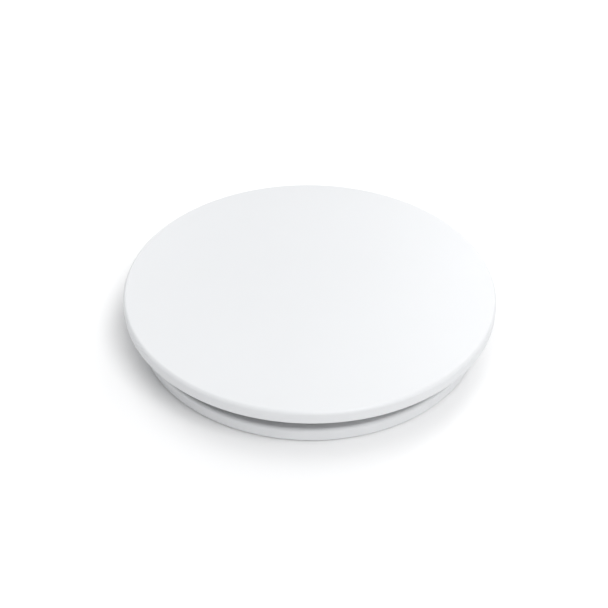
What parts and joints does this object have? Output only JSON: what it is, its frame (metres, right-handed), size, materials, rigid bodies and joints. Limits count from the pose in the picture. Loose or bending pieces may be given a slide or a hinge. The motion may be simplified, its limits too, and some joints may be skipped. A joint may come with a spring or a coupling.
{
  "type": "concealed fire sprinkler head",
  "caption": "Concealed fire sprinkler: flat round cover plate soldered over a screw-in retainer and cup, with a glass bulb, cap, drop-down deflector and pipe thread.",
  "frame": {"origin": "centre of the ceiling opening on the ceiling's face, where the retainer's gasket seats", "axes": "+Z along the sprinkler's axis, out of the ceiling towards the room; the two frame arms lie along X and the two guide pins along Y"},
  "size_m": [0.0841, 0.084, 0.0682],
  "materials": {
    "cover_paint": "smooth satin white",
    "flange_paint": "smooth satin white",
    "skirt_metal": "drawn, bare",
    "gasket_foam": "closed-cell foam, light grey",
    "cup_steel": "zinc plated",
    "ring_steel": "spring steel, oiled",
    "body_brass": "machined casting",
    "seal_ptfe": "white film",
    "washer_nickel": "nickel alloy",
    "cap_brass": "turned",
    "ejector_steel": "spring strip",
    "bulb_glass": "clear, fire polished",
    "bulb_red_liquid": "clear red liquid",
    "screw_brass": "turned",
    "housing_brass": "stamped and turned",
    "pin_steel": "drawn stainless",
    "deflector_brass": "stamped bronze",
    "tab_bronze": "phosphor bronze strip",
    "solder_alloy": "dull fusible alloy",
    "spring_bronze": "phosphor bronze leaf"
  },
  "bodies": {
    "sprinkler": {"sprinkler_body": "body_brass", "support_cup": "cup_steel", "cup_lock_ring": "ring_steel", "seal_film": "seal_ptfe", "seal_washer": "washer_nickel", "outlet_cap": "cap_brass", "cap_ejector": "ejector_steel", "glass_bulb": "bulb_glass", "bulb_liquid": "bulb_red_liquid", "compression_screw": "screw_brass", "guide_pin_housing": "housing_brass"},
    "deflector_carriage": {"deflector": "deflector_brass", "guide_pin_1": "pin_steel", "guide_pin_2": "pin_steel"},
    "gasket": {"ceiling_gasket": "gasket_foam"},
    "retainer": {"retainer_skirt": "skirt_metal", "retainer_flange": "flange_paint", "solder_tab_1": "tab_bronze", "solder_tab_2": "tab_bronze", "solder_tab_3": "tab_bronze", "solder_joint_1": "solder_alloy", "solder_joint_2": "solder_alloy", "solder_joint_3": "solder_alloy"},
    "cover": {"cover_plate": "cover_paint"},
    "spring_1": {"ejection_spring_1": "spring_bronze"},
    "spring_2": {"ejection_spring_2": "spring_bronze"},
    "spring_3": {"ejection_spring_3": "spring_bronze"}
  },
  "joints": [
    {"name": "retainer_travel", "type": "slide", "parent": "sprinkler", "child": "gasket", "axis": [0, 0, 1], "range_m": [0, 0.0127]},
    {"name": "retainer_turn", "type": "hinge", "parent": "gasket", "child": "retainer", "pos_m": [0, 0, 0], "axis": [0, 0, 1], "range_deg": [0, 1440]},
    {"name": "cover_release", "type": "slide", "parent": "retainer", "child": "cover", "axis": [0, 0, 1], "range_m": [0, 0.05]},
    {"name": "deflector_drop", "type": "slide", "parent": "sprinkler", "child": "deflector_carriage", "axis": [0, 0, 1], "range_m": [0, 0.014]},
    {"name": "spring_lift_1", "type": "hinge", "parent": "retainer", "child": "spring_1", "pos_m": [0.02242, 0.01294, 0.00159], "axis": [-0.5, 0.866, 0], "range_deg": [0, 18]},
    {"name": "spring_lift_2", "type": "hinge", "parent": "retainer", "child": "spring_2", "pos_m": [-0.02242, 0.01294, 0.00159], "axis": [-0.5, -0.866, 0], "range_deg": [0, 18]},
    {"name": "spring_lift_3", "type": "hinge", "parent": "retainer", "child": "spring_3", "pos_m": [0, -0.02589, 0.00159], "axis": [1, 0, 0], "range_deg": [0, 18]}
  ],
  "couplings": [
    {"joint": "retainer_travel", "follows": "retainer_turn", "m_per_rad": 0.00050532},
    {"joint": "deflector_drop", "follows": "cover_release", "ratio": 0.28},
    {"joint": "spring_lift_1", "follows": "cover_release", "rad_per_m": 6.2832},
    {"joint": "spring_lift_2", "follows": "cover_release", "rad_per_m": 6.2832},
    {"joint": "spring_lift_3", "follows": "cover_release", "rad_per_m": 6.2832}
  ]
}
